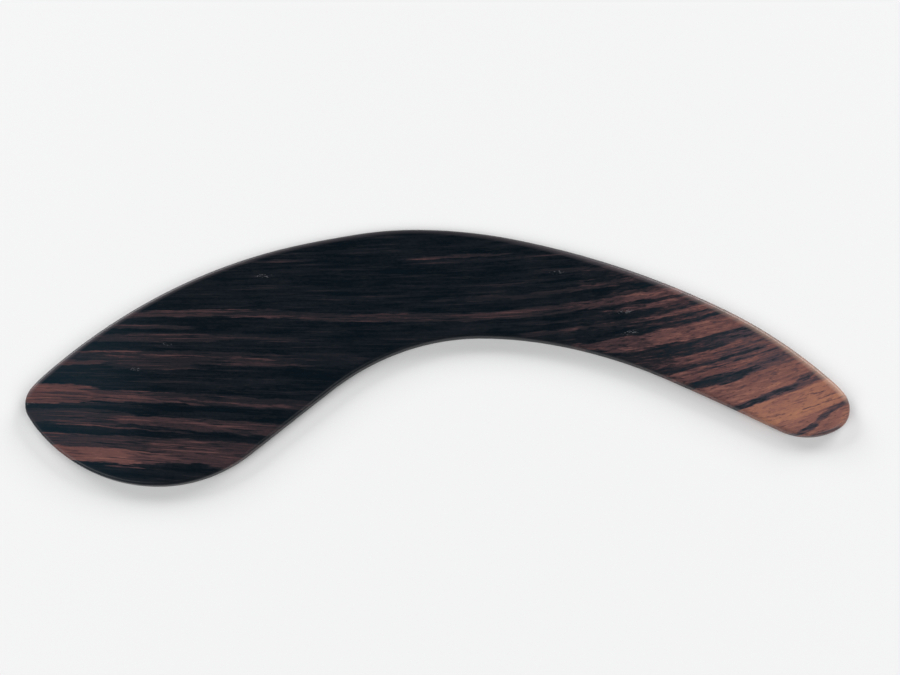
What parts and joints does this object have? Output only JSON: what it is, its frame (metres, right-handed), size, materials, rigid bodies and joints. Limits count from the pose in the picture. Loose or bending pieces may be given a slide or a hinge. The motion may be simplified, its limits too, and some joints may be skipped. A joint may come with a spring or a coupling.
{
  "type": "boomerang",
  "caption": "Solid striped-hardwood boomerang: a flat board bent at the elbow, with a broad pointed arm, a slim blunt arm and rounded edges",
  "frame": {"origin": "on the underside, at the middle of the board's box in X and Y", "axes": "+X runs from the broad end to the slim end, +Y towards the crown (the outside of the elbow), +Z out of the upper face"},
  "size_m": [0.36, 0.1194, 0.0055],
  "materials": {
    "rosewood": "oiled and hand-rubbed, satin"
  },
  "bodies": {
    "root": {"blade": "rosewood"}
  },
  "joints": []
}
